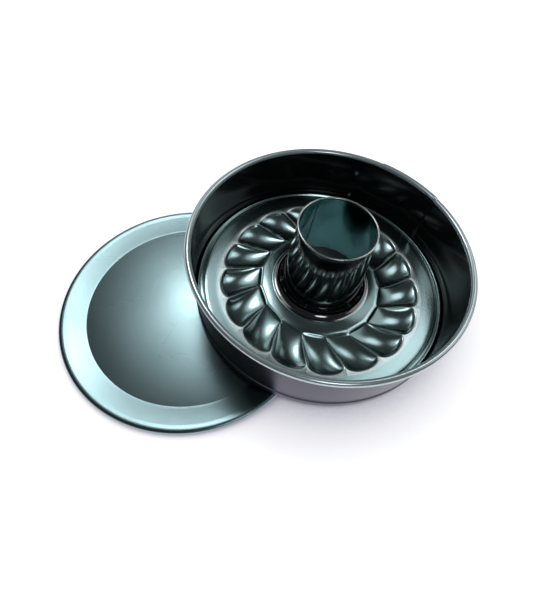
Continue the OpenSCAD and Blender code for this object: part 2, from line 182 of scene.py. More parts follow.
@dataclass
class Grid:
    """A closed shell: an upper and a lower grid of points, joined round their edges.

    The upper side is the inside of a wall or a tube.
    """

    upper: np.ndarray  # shape (rows, stations, 3)
    lower: np.ndarray
    wraps: bool = True  # whether the last row joins the first
    wear_and_highlight: np.ndarray | None = None  # 0, coated, to 1, bare metal and painted highlight, for each station or each point
    coat_spans: tuple[tuple[int, int, Coat], ...] = ()  # first station, last station, coat

    def vertices(self) -> np.ndarray:
        """All points of the upper grid, then all of the lower one."""
        return np.concatenate([self.upper.reshape(-1, 3), self.lower.reshape(-1, 3)])

    def wear_and_highlight_values(self) -> np.ndarray:
        """The wear and painted highlight of each vertex, in the order of vertices().

        Returns:
            Values from 0 to 1, the same on both sides of the sheet.
        """
        rows, stations = self.upper.shape[:2]
        values = np.zeros(stations) if self.wear_and_highlight is None else self.wear_and_highlight
        return np.tile(np.broadcast_to(values, (rows, stations)).ravel(), 2)

    def coats(self) -> np.ndarray:
        """The material index of each face, in the order of faces().

        A span's coat is on both sides of the sheet, but the inside coat is on the upper side alone.

        Returns:
            Indices, shape (f,).
        """
        rows, stations = self.upper.shape[:2]
        strips = rows if self.wraps else rows - 1
        upper = np.full((strips, stations - 1), Coat.OUTSIDE.value, dtype=np.int32)
        for first, last, coat in self.coat_spans:
            upper[:, first:last] = coat.value
        lower = np.where(upper == Coat.INSIDE.value, Coat.OUTSIDE.value, upper)
        edges = np.full(len(self.faces()) - 2 * upper.size, Coat.OUTSIDE.value, dtype=np.int32)
        return np.concatenate([upper.ravel(), lower.ravel(), edges])

    def faces(self) -> np.ndarray:
        """Four-cornered faces whose sides point outwards: both sides, then the edges.

        Returns:
            Vertex indices, shape (f, 4).
        """
        rows, stations = self.upper.shape[:2]
        index = np.arange(rows * stations).reshape(rows, stations)
        if self.wraps:
            index = np.concatenate([index, index[:1]])
        under = index + rows * stations
        a, b, c, d = index[:-1, :-1], index[:-1, 1:], index[1:, 1:], index[1:, :-1]
        e, f, g, h = under[:-1, :-1], under[:-1, 1:], under[1:, 1:], under[1:, :-1]
        quads = [np.stack([a, b, c, d], -1), np.stack([e, h, g, f], -1)]
        quads.append(np.stack([index[:-1, 0], index[1:, 0], under[1:, 0], under[:-1, 0]], -1))
        quads.append(np.stack([index[:-1, -1], under[:-1, -1], under[1:, -1], index[1:, -1]], -1))
        if not self.wraps:
            quads.append(np.stack([index[0, :-1], under[0, :-1], under[0, 1:], index[0, 1:]], -1))
            quads.append(np.stack([index[-1, :-1], index[-1, 1:], under[-1, 1:], under[-1, :-1]], -1))
        return np.concatenate([q.reshape(-1, 4) for q in quads])


def both_sides(path: np.ndarray, thickness: float, azimuths: np.ndarray) -> tuple[np.ndarray, np.ndarray]:
    """Upper and lower side of a sheet: its middle path, moved by half its thickness along its normals."""
    offset = path_normals(path) * thickness / 2
    return around(path + offset, azimuths), around(path - offset, azimuths)


def sheet_round(path: np.ndarray, thickness: float, azimuths: np.ndarray, wraps: bool = True,
                wear_and_highlight: np.ndarray | None = None) -> Grid:
    """Sheet metal carried round the axis.

    Args:
        path: Middle line, shape (n, 2), or one for each azimuth, shape (m, n, 2).
        thickness: Thickness of the sheet.
        azimuths: Azimuths in degrees.
        wraps: Whether the last azimuth joins the first.
        wear_and_highlight: Wear and painted highlight of each station of the path.

    Returns:
        The closed shell.
    """
    return Grid(*both_sides(path, thickness, azimuths), wraps, wear_and_highlight)


def make_piece(name: str, grids: list[Grid], place: Placing, crease: float = 35.0) -> bpy.types.Object:
    """Makes one object of several shells.

    Args:
        name: Name of the object.
        grids: Shells in the piece's own frame, in millimetres.
        place: Function from those points to points in the shared frame, in metres.
        crease: Angle in degrees past which an edge is shaded sharp.

    Returns:
        The object, at the origin, with its place in its mesh.
    """
    starts = np.cumsum([0] + [len(g.vertices()) for g in grids])[:-1]
    vertices = place(np.concatenate([g.vertices() for g in grids]))
    faces = np.concatenate([g.faces() + s for g, s in zip(grids, starts)])
    mesh = bpy.data.meshes.new(name)
    mesh.from_pydata(vertices.tolist(), [], faces.tolist())
    # per-vertex share of bare metal and of painted highlight, on ridges, tips and the tube's curl
    attribute = mesh.attributes.new("wear_and_highlight", "FLOAT", "POINT")
    attribute.data.foreach_set("value", np.concatenate([g.wear_and_highlight_values() for g in grids]).astype(np.float32))
    mesh.polygons.foreach_set("use_smooth", np.ones(len(mesh.polygons), dtype=bool))
    mesh.polygons.foreach_set("material_index", np.concatenate([g.coats() for g in grids]))
    mesh.set_sharp_from_angle(angle=math.radians(crease))
    mesh.validate()
    mesh.update()
    piece = bpy.data.objects.new(name, mesh)
    bpy.context.scene.collection.objects.link(piece)
    return piece


def paint(piece: bpy.types.Object, *materials: bpy.types.Material) -> None:
    """Puts materials on a piece.

    Args:
        piece: The piece.
        materials: Materials in the order of the coats' indices; a face past the last one gets the last.
    """
    indices = np.zeros(len(piece.data.polygons), dtype=np.int32)
    piece.data.polygons.foreach_get("material_index", indices)
    piece.data.materials.clear()
    for material in materials:
        piece.data.materials.append(material)
    piece.data.polygons.foreach_set("material_index", np.minimum(indices, len(materials) - 1))


# Shader nodes


def feed(tree: bpy.types.NodeTree, node: bpy.types.Node, values: dict[str | int, Value]) -> None:
    """Gives a node's inputs their values.

    Args:
        tree: Tree that the node is in.
        node: Node to set.
        values: For each input, a socket to link it to, or its own number or colour.
    """
    for key, value in values.items():
        if isinstance(value, bpy.types.NodeSocket):
            tree.links.new(value, node.inputs[key])
        elif isinstance(value, tuple):
            node.inputs[key].default_value = (*value, 1)
        else:
            node.inputs[key].default_value = value


def math_node(tree: bpy.types.NodeTree, operation: str, first: Value, second: Value) -> bpy.types.NodeSocket:
    """A Math node on two values, each a socket or a number.

    Args:
        tree: Tree that the node goes into.
        operation: Name of the operation.
        first: Left value.
        second: Right value.

    Returns:
        The result's socket.
    """
    node = tree.nodes.new("ShaderNodeMath")
    node.operation = operation
    feed(tree, node, {0: first, 1: second})
    return node.outputs[0]


def between(tree: bpy.types.NodeTree, low: float, high: float, share: Value) -> bpy.types.NodeSocket:
    """A number between two others: low + share (high - low)."""
    return math_node(tree, "ADD", math_node(tree, "MULTIPLY", share, high - low), low)


def mix_colour(tree: bpy.types.NodeTree, first: Value, second: Value, share: Value) -> bpy.types.NodeSocket:
    """A colour between two others.

    Args:
        tree: Tree that the node goes into.
        first: Colour where the share is 0.
        second: Colour where it is 1.
        share: The share's socket.

    Returns:
        The result's socket.
    """
    node = tree.nodes.new("ShaderNodeMix")
    node.data_type = "RGBA"
    feed(tree, node, {"A": first, "B": second, "Factor": share})
    return node.outputs["Result"]


def ramp(tree: bpy.types.NodeTree, value: Value, span: tuple[float, float]) -> bpy.types.NodeSocket:
    """A value eased from 0 to 1 over a span, and clamped outside it.

    Args:
        tree: Tree that the node goes into.
        value: Socket to read.
        span: Values that become 0 and 1.

    Returns:
        The result's socket.
    """
    node = tree.nodes.new("ShaderNodeMapRange")
    node.interpolation_type = "SMOOTHSTEP"
    feed(tree, node, {"Value": value, "From Min": span[0], "From Max": span[1]})
    return node.outputs["Result"]


def noise(tree: bpy.types.NodeTree, scale: float, detail: float,
          stretch: tuple[float, float, float] = (1, 1, 1)) -> bpy.types.NodeSocket:
    """Noise on Object coordinates.

    Args:
        tree: Tree that the nodes go into.
        scale: Waves for each metre.
        detail: Octaves of the noise.
        stretch: Factors on the three coordinates.

    Returns:
        The noise's value socket.
    """
    coordinates = tree.nodes.new("ShaderNodeTexCoord")
    mapping = tree.nodes.new("ShaderNodeMapping")
    mapping.inputs["Scale"].default_value = stretch
    node = tree.nodes.new("ShaderNodeTexNoise")
    feed(tree, mapping, {"Vector": coordinates.outputs["Object"]})
    feed(tree, node, {"Vector": mapping.outputs["Vector"], "Scale": scale, "Detail": detail})
    return node.outputs["Fac"]


def new_group(name: str, inputs: dict[str, float], outputs: list[str]) -> bpy.types.NodeTree:
    """An empty shader group with float inputs and outputs.

    Args:
        name: Name of the group.
        inputs: Input names with their default values.
        outputs: Output names.

    Returns:
        The group, holding one Group Input and one Group Output node.
    """
    group = bpy.data.node_groups.new(name, "ShaderNodeTree")
    for key, value in inputs.items():
        socket = group.interface.new_socket(key, in_out="INPUT", socket_type="NodeSocketFloat")
        socket.default_value = value
    for key in outputs:
        group.interface.new_socket(key, in_out="OUTPUT", socket_type="NodeSocketFloat")
    group.nodes.new("NodeGroupInput")
    group.nodes.new("NodeGroupOutput")
    return group


def coat_grain_group() -> bpy.types.NodeTree:
    """Grain of a sprayed coat: a fine speckle and a slow drift across the sheet, both from 0 to 1.

    Each is its noise, eased from 0 to 1, with its distance from a half times the contrast.

    Returns:
        The group.
    """
    group = new_group("coat_grain", {"Contrast": 1.0}, ["Speckle", "Drift"])
    contrast = group.nodes["Group Input"].outputs["Contrast"]
    target = group.nodes["Group Output"]
    speckle = ramp(group, noise(group, scale=2600.0, detail=2.0), span=(0.35, 0.65))
    drift = ramp(group, noise(group, scale=11.0, detail=1.0), span=(0.3, 0.7))
    for value, key in ((speckle, "Speckle"), (drift, "Drift")):
        centred = math_node(group, "SUBTRACT", value, MIDDLE)
        scaled = math_node(group, "MULTIPLY", centred, contrast)
        feed(group, target, {key: math_node(group, "ADD", scaled, MIDDLE)})
    return group


def fine_scratches_group() -> bpy.types.NodeTree:
    """Hairlines from washing: noise stretched along two directions, kept only where it is highest.

    The mask is how far the noise passes a limit, which is lower where the share is higher, times a sharpness.

    Returns:
        The group.
    """
    limit = 0.86
    limit_drop = 0.5
    sharpness = 12.0
    group = new_group("fine_scratches", {"Share": 0.1}, ["Mask"])
    share = group.nodes["Group Input"].outputs["Share"]
    first = noise(group, scale=240.0, detail=3.0, stretch=(1.0, 14.0, 1.0))
    second = noise(group, scale=200.0, detail=3.0, stretch=(11.0, 1.0, 1.0))
    peak = math_node(group, "MAXIMUM", first, second)
    edge = math_node(group, "SUBTRACT", limit, math_node(group, "MULTIPLY", share, limit_drop))
    mask = math_node(group, "MULTIPLY", math_node(group, "SUBTRACT", peak, edge), sharpness)
    clamp = group.nodes.new("ShaderNodeClamp")
    feed(group, clamp, {"Value": mask})
    feed(group, group.nodes["Group Output"], {"Mask": clamp.outputs["Result"]})
    return group


# Finishes


@dataclass(frozen=True)
class Finish:
    """A coat or metal finish."""

    name: str
    colour: Colour
    shade: Colour  # where the slow drift leads
    bare_and_highlight: Colour = (0.62, 0.66, 0.67)  # where the wear and painted highlight is 1
    bare_and_highlight_metallic: float = 1.0
    metallic: float = 0.0
    roughness: float = 0.3
    bare_and_highlight_roughness: float = 0.25
    drift_roughness: float = 0.04  # from the slow drift
    scratch_roughness: float = 0.1  # added by a hairline
    grain: float = 0.004  # height of the speckle in millimetres
    scratches: float = 0.05  # share with hairlines
    coat: float = 0.0  # clear layer on top
    coat_roughness: float = 0.1
    specular: float = 0.5
    ior: float = 1.5  # refractive index

    def material(self, grain_group: bpy.types.NodeTree,
                 scratch_group: bpy.types.NodeTree) -> bpy.types.Material:
        """Builds the material's nodes.

        Args:
            grain_group: The shared grain group.
            scratch_group: The shared hairline group.

        Returns:
            The material.
        """
        material = bpy.data.materials.new(self.name)
        material.use_nodes = True
        tree = material.node_tree
        shader = tree.nodes["Principled BSDF"]
        grain = tree.nodes.new("ShaderNodeGroup")
        grain.node_tree = grain_group
        lines = tree.nodes.new("ShaderNodeGroup")
        lines.node_tree = scratch_group
        feed(tree, lines, {"Share": self.scratches})
        # bare metal and painted highlight, read from the mesh's wear_and_highlight values
        wear_and_highlight = tree.nodes.new("ShaderNodeAttribute")
        wear_and_highlight.attribute_name = "wear_and_highlight"
        worn_and_lit = wear_and_highlight.outputs["Fac"]

        coated = mix_colour(tree, self.colour, self.shade, grain.outputs["Drift"])
        rough = between(tree, self.roughness, self.bare_and_highlight_roughness, worn_and_lit)
        drift = math_node(tree, "SUBTRACT", grain.outputs["Drift"], MIDDLE)
        rough = math_node(tree, "ADD", rough, math_node(tree, "MULTIPLY", drift, self.drift_roughness))
        dull = math_node(tree, "MULTIPLY", lines.outputs["Mask"], self.scratch_roughness)
        bump = tree.nodes.new("ShaderNodeBump")
        feed(tree, bump, {"Distance": self.grain * MM, "Height": grain.outputs["Speckle"]})
        feed(tree, shader, {
            "Base Color": mix_colour(tree, coated, self.bare_and_highlight, worn_and_lit),
            "Metallic": between(tree, self.metallic, self.bare_and_highlight_metallic, worn_and_lit),
            "Roughness": math_node(tree, "ADD", rough, dull),
            "Specular IOR Level": self.specular,
            "IOR": self.ior,
            "Coat Weight": self.coat,
            "Coat Roughness": self.coat_roughness,
            "Normal": bump.outputs["Normal"],
        })
        return material


SATIN_TEAL = Finish("satin_teal_coat", (0.26, 0.36, 0.378), (0.22, 0.315, 0.332), metallic=1.0,
                    roughness=0.26, bare_and_highlight_roughness=0.2)
# painted highlight: a lighter copy of the satin teal, so the lobes' highlights come out brighter
LIT_PRESSED_TEAL = Finish("pressed_teal_lit_coat", (0.33, 0.45, 0.46), (0.285, 0.40, 0.41), bare_and_highlight=(0.85, 0.93, 0.94),
                      bare_and_highlight_metallic=0.4, metallic=1.0, roughness=0.2, bare_and_highlight_roughness=0.24)
GLOSS_BLACK = Finish("gloss_black_coat", (0.002, 0.003, 0.003), (0.003, 0.004, 0.004), roughness=0.12,
                     grain=0.002, scratches=0.02, specular=0.22)
TUBE_BLACK = Finish("tube_black_coat", (0.002, 0.003, 0.003), (0.003, 0.004, 0.004), roughness=0.08,
                    grain=0.001, scratches=0.02, specular=1.0, ior=1.8, coat=0.5, coat_roughness=0.05)
BORE_TEAL = Finish("bore_teal_coat", (0.22, 0.56, 0.49), (0.17, 0.45, 0.39), metallic=1.0, roughness=0.13,
                   grain=0.002)
SATIN_GREY = Finish("satin_grey_coat", (0.064, 0.061, 0.086), (0.054, 0.052, 0.076), metallic=0.9,
                    roughness=0.32)
# painted highlight: a pale copy of the ring's coat on the rolled rim, so it reads bright all round
RIM_HIGHLIGHT = Finish("rolled_rim_painted_highlight", (0.70, 0.80, 0.83), (0.62, 0.72, 0.75), metallic=0.6, roughness=0.2)
BRIGHT_STEEL = Finish("bright_plated_steel", (0.46, 0.47, 0.485), (0.40, 0.41, 0.43), metallic=1.0,
                      roughness=0.26, scratches=0.12)
FINISHES = (SATIN_TEAL, LIT_PRESSED_TEAL, GLOSS_BLACK, TUBE_BLACK, BORE_TEAL, SATIN_GREY, RIM_HIGHLIGHT,
            BRIGHT_STEEL)

Palette = dict[Finish, bpy.types.Material]


# The set's parts


@dataclass(frozen=True)
class SheetSizes:
    """Sizes that the set's parts share, in millimetres."""

    rim_r: float = 127.9  # inside the rolled rim
    ring_h: float = 69.7
    wall_taper: float = 1.3  # widening from foot to rim
    bead_r: float = 2.95  # rolled rim
    bead_bite: float = 0.1  # how far the roll reaches into the wall
    sheet: float = 0.6
    foot_h: float = 8.8
    foot_step: float = 0.9  # how far the foot stands out
    foot_corner: float = 1.2
    foot_lip: float = 4.1  # width of the lip under the foot
    foot_shoulder: float = 1.4  # height of the slope above the foot
    floor_z: float = 11.3  # plate's upper side
    flat_r: float = 125.6
    flat_sheet: float = 0.7
    flange_h: float = 6.6
    crest_inset: float = 2.8  # flange's crest, in from its edge
    rest_gap: float = 0.3  # between resting pieces
    lap_gap: float = 0.15  # between the lap's two layers
    centre_gap: float = 135.7  # between the two axes
    tube_foot_r: float = 40.2
    tube_fillet: float = 8.6

    @property
    def foot_in_r(self) -> float:
        """Inner radius of the wall above its foot."""
        return self.rim_r - self.wall_taper

    @property
    def foot_out_r(self) -> float:
        """Outer radius of the foot."""
        return self.foot_in_r + self.foot_step + self.sheet

    @property
    def foot_edge_r(self) -> float:
        """Radius of the foot's lower edge."""
        return self.foot_out_r - self.foot_corner

    @property
    def bead_z(self) -> float:
        """Height of the rolled rim's centre."""
        return self.ring_h - self.bead_r

    @property
    def bead_centre_r(self) -> float:
        """Radius at which the rolled rim's centre runs."""
        return self.rim_r + self.bead_r - self.bead_bite

    @property
    def flange_crest_r(self) -> float:
        """Radius of the flat base's flange at its highest."""
        return self.flat_r - self.crest_inset

    @property
    def lap_layer(self) -> float:
        """How far the outer layer of the ring's lap stands out from the inner one."""
        return self.sheet + self.lap_gap

    @property
    def lean(self) -> float:
        """Angle in radians by which the ring leans on the flat base's flange.

        The foot's circle crosses the flange's circle at x = (d^2 + f^2 - c^2) / 2d from the ring's centre,
        for centres d apart and radii f and c, and stands on the ground at its far edge e, so that
        sin(lean) = rise / (e + x).

        Returns:
            The angle.
        """
        middle = self.foot_edge_r - self.foot_lip / 2
        gap = self.centre_gap
        crossing = (gap ** 2 + middle ** 2 - self.flange_crest_r ** 2) / (2 * gap)
        return math.asin((self.flange_h + self.rest_gap) / (self.foot_edge_r + crossing))

    def wall_in_r(self, height: float) -> float:
        """Inner radius of the wall: it widens in a straight line from the foot to the rim."""
        share = (height - self.foot_h) / (self.bead_z - self.foot_h)
        return self.foot_in_r + self.wall_taper * share

    def on_ring(self, points: np.ndarray) -> np.ndarray:
        """Leans and lifts the ring's points on to the flat base: a turn about y, then a shift.

        Args:
            points: Points in the ring's frame, in millimetres, shape (n, 3).

        Returns:
            Points in the shared frame, in metres.
        """
        cosine, sine = math.cos(self.lean), math.sin(self.lean)
        turn = np.array([[cosine, 0, sine], [0, 1, 0], [-sine, 0, cosine]])
        foot = np.array([self.centre_gap, 0, self.foot_edge_r * sine])
        return (points @ turn.T + foot) * MM

    @staticmethod
    def on_flat(points: np.ndarray) -> np.ndarray:
        """Takes points from the flat base's frame, in millimetres, to metres."""
        return points * MM


@dataclass
class FlatBase:
    """The flat base: a level disc whose flange rises and rolls over at its edge."""

    sizes: SheetSizes
    centre_r: float = 102.5  # level centre
    rise_before: float = 1.2  # where the slope begins, in from centre_r
    rise_after: tuple[float, float] = (0.6, 0.5)  # where it is under way, out from centre_r and up
    shoulder: tuple[float, float] = (4.4, 0.9)  # in and down from the crest
    crown: tuple[float, float] = (1.6, 0.2)  # in and down from the crest
    roll: tuple[float, float] = (1.1, 0.4)  # in from the edge, down from the crest
    edge: tuple[float, float] = (1.4, 2.6)  # down from the crest
    bends: tuple[float, ...] = (2.0, 3.0, 8.0, 5.0, 3.0, 1.2, 1.2)  # radii, from the centre out
    pole_r: float = 0.02  # where the sheet closes at its centre
    pitch: float = 2.5  # longest stretch of the profile
    bend_steps: int = 5
    azimuth_count: int = 288

    def profile(self) -> np.ndarray:
        """Middle line of the sheet from its centre to the edge of its flange.

        Returns:
            The path, shape (n, 2).
        """
        s = self.sizes
        low = s.flat_sheet / 2
        side = s.flat_r - low
        crest_r, crest = s.flange_crest_r, s.flange_h - low
        corners = np.array([
            [0.0, low],
            [self.centre_r - self.rise_before, low],
            [self.centre_r + self.rise_after[0], low + self.rise_after[1]],
            [crest_r - self.shoulder[0], crest - self.shoulder[1]],
            [crest_r - self.crown[0], crest - self.crown[1]],
            [crest_r, crest],
            [s.flat_r - self.roll[0], crest - self.roll[1]],
            [side, crest - self.edge[0]],
            [side, crest - self.edge[1]],
        ])
        path = dense(rounded_path(corners, self.bends, self.bend_steps), self.pitch)
        path[0, 0] = self.pole_r
        return path

    def build(self) -> bpy.types.Object:
        """Turns the disc's profile round the axis.

        Returns:
            The disc, which replaces its solid.
        """
        azimuths = np.arange(self.azimuth_count) * FULL_TURN / self.azimuth_count
        grid = sheet_round(self.profile(), self.sizes.flat_sheet, azimuths)
        piece = make_piece("flat_base_disc", [grid], self.sizes.on_flat)
        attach(piece, Body.FLAT_BASE.value)
        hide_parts("flat_base")
        return piece

    @staticmethod
    def dress(piece: bpy.types.Object, palette: Palette) -> None:
        """Gives the disc its satin coat."""
        paint(piece, palette[SATIN_TEAL])


@dataclass
class SpringRing:
    """The ring: one band of sheet with a stepped foot and a rolled rim, lapped outside its own end."""

    sizes: SheetSizes
    inner_end: float = 24.0  # azimuths in degrees
    outer_end: float = 48.4  # one turn on, like the joggle
    joggle_start: float = 17.9
    joggle_end: float = 19.6
    azimuth_step: float = 1.0
    joggle_rows: int = 7
    lap_rows: int = 30
    foot_bend: float = 0.7
    step_bend: float = 1.2
    bend_steps: int = 4
    neck: float = 0.3  # how far below the roll's centre the wall ends
    curl_end: float = -140.0  # the roll starts at 180 degrees, on the wall
    curl_steps: int = 26
    pitch: float = 3.0
    lip_share: float = 0.02  # share of the joggle that has a lip

    def wall_path(self, out: np.ndarray) -> np.ndarray:
        """Middle line of the band, from its foot lip up its wall and round its rolled rim.

        The outer layer keeps the inner one's line, pushed straight out on the wall and along the roll's own
        radius on the rim. It has no lip under the foot: the lip's points gather in the foot's corner.

        Args:
            out: How far each azimuth's layer stands out from the inner layer, shape (m,).

        Returns:
            One path for each azimuth, shape (m, n, 2).
        """
        s = self.sizes
        half = s.sheet / 2
        foot_side = s.foot_out_r - half
        wall_top = s.bead_z - self.neck
        corners = np.array([
            [s.foot_edge_r - s.foot_lip + s.sheet, half],
            [s.foot_edge_r, half],
            [foot_side, s.foot_corner],
            [foot_side, s.foot_h - s.foot_shoulder],
            [s.foot_in_r + half, s.foot_h],
            [s.wall_in_r(wall_top) + half, wall_top],
        ])
        bends = (self.foot_bend, self.foot_bend, self.step_bend, self.step_bend)
        wall = dense(rounded_path(corners, bends, self.bend_steps), self.pitch)
        roll_centre = (s.bead_centre_r, s.bead_z)
        roll = arc(roll_centre, s.bead_r - half, 180, self.curl_end, self.curl_steps)
        path = np.concatenate([wall, roll])

        wall_step = np.tile([s.lap_layer, 0.0], (len(wall), 1))
        roll_step = unit(roll - np.array(roll_centre)) * s.lap_layer
        inside = roll[:, 0] < s.rim_r + s.lap_layer
        roll_step[inside, 0] = s.rim_r + s.lap_layer + half - roll[inside, 0]
        roll_step[inside, 1] = 0
        share = out[:, None, None] / s.lap_layer
        paths = path + share * np.concatenate([wall_step, roll_step])
        lip = path[:, 1] < s.foot_corner
        corner = np.array([foot_side, s.foot_corner]) + share * [s.lap_layer, 0]
        paths[:, lip] = np.where(share > self.lip_share, corner, paths[:, lip])
        return paths

    def build(self) -> bpy.types.Object:
        """Carries the band's path round from its inner end, over the joggle, to the outer end of its lap.

        Returns:
            The band, which replaces its solid.
        """
        s = self.sizes
        main = np.arange(self.inner_end, FULL_TURN + self.joggle_start, self.azimuth_step)
        joggle = FULL_TURN + np.linspace(self.joggle_start, self.joggle_end, self.joggle_rows)
        lap = np.linspace(FULL_TURN + self.joggle_end, FULL_TURN + self.outer_end, self.lap_rows)[1:]
        azimuths = np.concatenate([main, joggle, lap])
        past = azimuths - FULL_TURN - self.joggle_start
        share = np.clip(past / (self.joggle_end - self.joggle_start), 0, 1)
        paths = self.wall_path(s.lap_layer * eased(share))
        grid = sheet_round(paths, s.sheet, azimuths, wraps=False)
        stations = paths.shape[1]
        wall_end = stations - self.curl_steps - 1
        grid.coat_spans = ((0, wall_end, Coat.INSIDE), (wall_end, stations - 1, Coat.ROLLED_RIM))
        piece = make_piece("spring_ring_band", [grid], s.on_ring)
        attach(piece, Body.RING.value)
        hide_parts("ring_band")
        return piece

    @staticmethod
    def dress(piece: bpy.types.Object, palette: Palette) -> None:
        """Gives the band its grey outside, its black inside and its rim, painted pale as its highlight."""
        paint(piece, palette[SATIN_GREY], palette[GLOSS_BLACK], palette[RIM_HIGHLIGHT])


@dataclass
class SwirlBase:
    """The tube base's plate: a swirl of pressed lobes between an inner collar and an outer floor."""

    sizes: SheetSizes
    lobe_count: int = 17
    lobe_z: float = 2.4  # deepest line of the lobes
    swirl_angle: float = 9.0  # lag of the lobes' inner ends, in degrees
    swirl_power: float = 1.2  # how fast the lag fades outwards
    swirl_phase: float = -7.2  # first ridge's outer end
    crest_share_in: float = 0.6  # a ridge's share of the depth at its inner end
    crest_share_out: float = 0.05  # and at its outer end
    crest_power: float = 1.5
    roundness: float = 0.7  # rounds the bowl along a lobe
    deepest_power: float = 1.15  # moves the deepest point outwards
    depth_share: float = 0.4  # where between the outlines the depth is counted
    lip_out_drop: float = 0.9  # outer outline below the plate
    lip_in_drop: float = 3.6  # inner outline below the plate
    tip_share: float = 0.83  # radii as shares of the plate's: tips
    cusp_share: float = 0.772  # between two tips
    inner_share: float = 0.472  # inner outlines
    corner_share: float = 0.489  # between two inner outlines
    outline_gap: float = 1.6  # slope outside the outlines
    collar_lap: float = 4.0  # collar under the tube's flange
    collar_margin: float = 0.8  # level collar outside the flange
    groove_share: float = 0.94  # groove's start
    groove_bank: float = 1.4
    groove_depth: float = 1.6
    crown_w: float = 1.6  # between groove and skirt
    crown_round: float = 0.7
    fit_gap: float = 0.6  # between plate and wall
    collar_bend: float = 2.0
    collar_steps: int = 5
    floor_bends: tuple[float, ...] = (0.8, 0.5, 0.5, 0.5, 0.3, 0.4)
    floor_steps: int = 3
    pitch: float = 3.0
    crease: float = 50.0  # degrees past which an edge is shaded sharp
    fold: float = 0.09  # share of a lobe's length that bends round at either end
    ridge_rounding: float = 0.06
    ridge_highlight_w: float = 0.05  # painted highlight along a ridge
    tip_highlight_w: float = 0.035  # painted highlight round the tips
    painted_highlight: float = 0.8  # strength of the painted highlight on those lines, carried as wear
    steps_per_lobe: int = 32
    cross_steps: int = 46

    @property
    def base_r(self) -> float:
        """Radius of the plate."""
        return self.sizes.foot_in_r - self.fit_gap

    @property
    def lip_out(self) -> float:
        """Height of the lobes' outer outline."""
        return self.sizes.floor_z - self.lip_out_drop

    @property
    def lip_in(self) -> float:
        """Height of the lobes' inner outline."""
        return self.sizes.floor_z - self.lip_in_drop

    def bulge(self, u: np.ndarray) -> np.ndarray:
        """Round bulge across a lobe: s^2 over (s + rounding)^1.5, about the square root of s = 1 - u^2."""
        s = np.maximum(0, 1 - u * u)
        return s ** 2 / np.maximum(s + self.ridge_rounding, TINY) ** 1.5

    def across(self, t: np.ndarray) -> np.ndarray:
        """Depth along a lobe from its inner outline, t = 0, to its outer one, t = 1.

        It is (1 - v^2)^roundness with v = 2 t^deepest_power - 1, a bowl that is deepest just past its middle,
        times a share eased from 0 to 1 over the fold at either end, so that the sheet bends round.

        Args:
            t: Shares of the way along the lobe.

        Returns:
            Shares of the full depth.
        """
        v = 2 * t ** self.deepest_power - 1
        share = np.clip((1 - t) / self.fold, 0, 1) * np.clip(t / self.fold, 0, 1)
        return np.maximum(0, 1 - v * v) ** self.roundness * eased(share)

    def lobes(self, u: np.ndarray, t: np.ndarray, azimuths: np.ndarray) -> np.ndarray:
        """Upper side of all lobes.

        The radius goes from the inner outline to the outer one as t goes from 0 to 1. The height is that of
        the straight line between the outlines, less the depth at t times crest + (1 - crest) bulge, where
        the crest is the ridge's share of the depth at t.

        Args:
            u: Place of each row across its lobe, from -1 to 1 at its ridges, shape (m,).
            t: Place along the lobe, shape (n,).
            azimuths: Azimuth of each point in degrees, shape (m, n).

        Returns:
            Points, shape (m, n, 3).
        """
        bulge = self.bulge(u)[:, None]
        r_in = self.base_r * (self.corner_share - (self.corner_share - self.inner_share) * bulge)
        r_out = self.base_r * (self.cusp_share + (self.tip_share - self.cusp_share) * bulge)
        radius = r_in + (r_out - r_in) * t
        fall = self.lip_out - self.lip_in
        depth = (self.lip_in + fall * self.depth_share - self.lobe_z) * self.across(t)
        crest_range = self.crest_share_in - self.crest_share_out
        crest = self.crest_share_out + crest_range * (1 - t) ** self.crest_power
        height = self.lip_in + fall * t - depth * (crest + (1 - crest) * bulge)
        return around(np.stack([radius, height], axis=-1), azimuths)

    def collar_path(self) -> np.ndarray:
        """Middle line of the collar, from under the tube's flange down to the lobes' inner outline.

        Returns:
            The path, shape (n, 2).
        """
        s = self.sizes
        z = s.floor_z - s.sheet / 2
        flange_r = s.tube_foot_r + s.tube_fillet
        return rounded_path(np.array([
            [flange_r - self.collar_lap, z],
            [flange_r + self.collar_margin, z],
            [self.inner_share * self.base_r - self.outline_gap, self.lip_in - s.sheet / 2],
        ]), (self.collar_bend,), self.collar_steps)

    def floor_path(self) -> np.ndarray:
        """Middle line of the outer floor, from the lobes' tips over the groove and down the skirt.

        Returns:
            The path, shape (n, 2).
        """
        s = self.sizes
        half = s.sheet / 2
        z = s.floor_z - half
        groove_r = self.groove_share * self.base_r
        groove_z = z - self.groove_depth
        skirt = self.base_r - half
        crown_r = skirt - self.crown_w
        path = rounded_path(np.array([
            [self.tip_share * self.base_r + self.outline_gap, self.lip_out - half],
            [groove_r, z],
            [groove_r + self.groove_bank, groove_z],
            [crown_r - self.groove_bank, groove_z],
            [crown_r, z],
            [skirt - self.crown_round, z],
            [skirt, z - self.crown_round],
            [skirt, s.sheet + s.rest_gap],
        ]), self.floor_bends, self.floor_steps)
        return np.concatenate([dense(path[:2], self.pitch), path[2:]])

